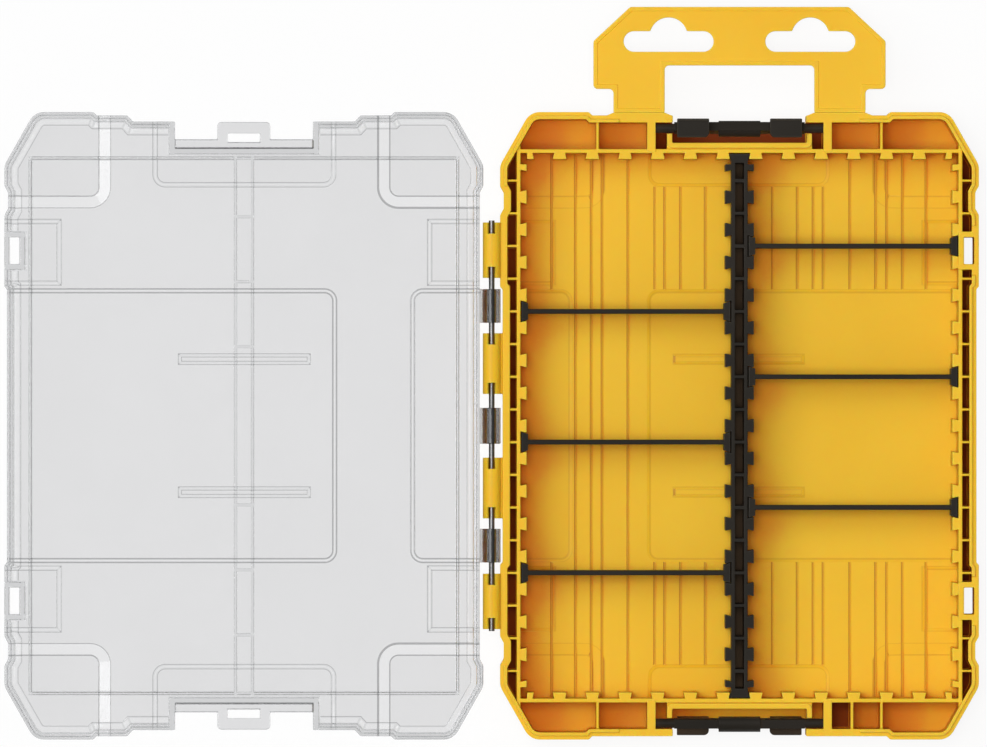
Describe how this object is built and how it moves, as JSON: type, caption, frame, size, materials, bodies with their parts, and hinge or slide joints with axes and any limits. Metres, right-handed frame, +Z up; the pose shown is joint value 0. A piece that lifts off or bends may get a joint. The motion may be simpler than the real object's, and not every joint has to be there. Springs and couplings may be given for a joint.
{
  "type": "saw blade storage case",
  "caption": "Flat hinged storage case lying open, with a clear lid, lift-out dividers, hooked end latches and a slotted hang tab.",
  "frame": {"origin": "middle of the underside of the tray", "axes": "+Z up out of the open tray, +Y towards the hang tab, +X away from the hinge; the lid lies open on the -X side"},
  "size_m": [0.3495, 0.2627, 0.037],
  "materials": {
    "tray": "satin yellow",
    "lid": "clear, lightly glossy",
    "black": "satin black",
    "steel": "plain drawn pin"
  },
  "bodies": {
    "tray": {"tray": "tray", "hang_tab": "tray", "hinge_pin": "steel"},
    "lid": {"lid": "lid"},
    "latch_top": {"latch_top": "black"},
    "latch_bottom": {"latch_bottom": "black"},
    "centre_divider": {"centre_divider": "black"},
    "cross_divider_left_1": {"cross_divider_left_1": "black"},
    "cross_divider_left_2": {"cross_divider_left_2": "black"},
    "cross_divider_left_3": {"cross_divider_left_3": "black"},
    "cross_divider_right_1": {"cross_divider_right_1": "black"},
    "cross_divider_right_2": {"cross_divider_right_2": "black"},
    "cross_divider_right_3": {"cross_divider_right_3": "black"}
  },
  "joints": [
    {"name": "lid_hinge", "type": "hinge", "parent": "tray", "child": "lid", "pos_m": [-0.08885, 0, 0.03215], "axis": [0, -1, 0], "range_deg": [-180, 0]},
    {"name": "latch_top_pivot", "type": "hinge", "parent": "tray", "child": "latch_top", "pos_m": [0, 0.1067, 0.0285], "axis": [-1, 0, 0], "range_deg": [-16, 172]},
    {"name": "latch_bottom_pivot", "type": "hinge", "parent": "tray", "child": "latch_bottom", "pos_m": [0, -0.1067, 0.0285], "axis": [1, 0, 0], "range_deg": [-188, 0]},
    {"name": "centre_divider_lift", "type": "slide", "parent": "tray", "child": "centre_divider", "axis": [0, 0, 1], "range_m": [0, 0.034]},
    {"name": "cross_divider_left_1_lift", "type": "slide", "parent": "tray", "child": "cross_divider_left_1", "axis": [0, 0, 1], "range_m": [0, 0.034]},
    {"name": "cross_divider_left_2_lift", "type": "slide", "parent": "tray", "child": "cross_divider_left_2", "axis": [0, 0, 1], "range_m": [0, 0.034]},
    {"name": "cross_divider_left_3_lift", "type": "slide", "parent": "tray", "child": "cross_divider_left_3", "axis": [0, 0, 1], "range_m": [0, 0.034]},
    {"name": "cross_divider_right_1_lift", "type": "slide", "parent": "tray", "child": "cross_divider_right_1", "axis": [0, 0, 1], "range_m": [0, 0.034]},
    {"name": "cross_divider_right_2_lift", "type": "slide", "parent": "tray", "child": "cross_divider_right_2", "axis": [0, 0, 1], "range_m": [0, 0.034]},
    {"name": "cross_divider_right_3_lift", "type": "slide", "parent": "tray", "child": "cross_divider_right_3", "axis": [0, 0, 1], "range_m": [0, 0.034]}
  ]
}
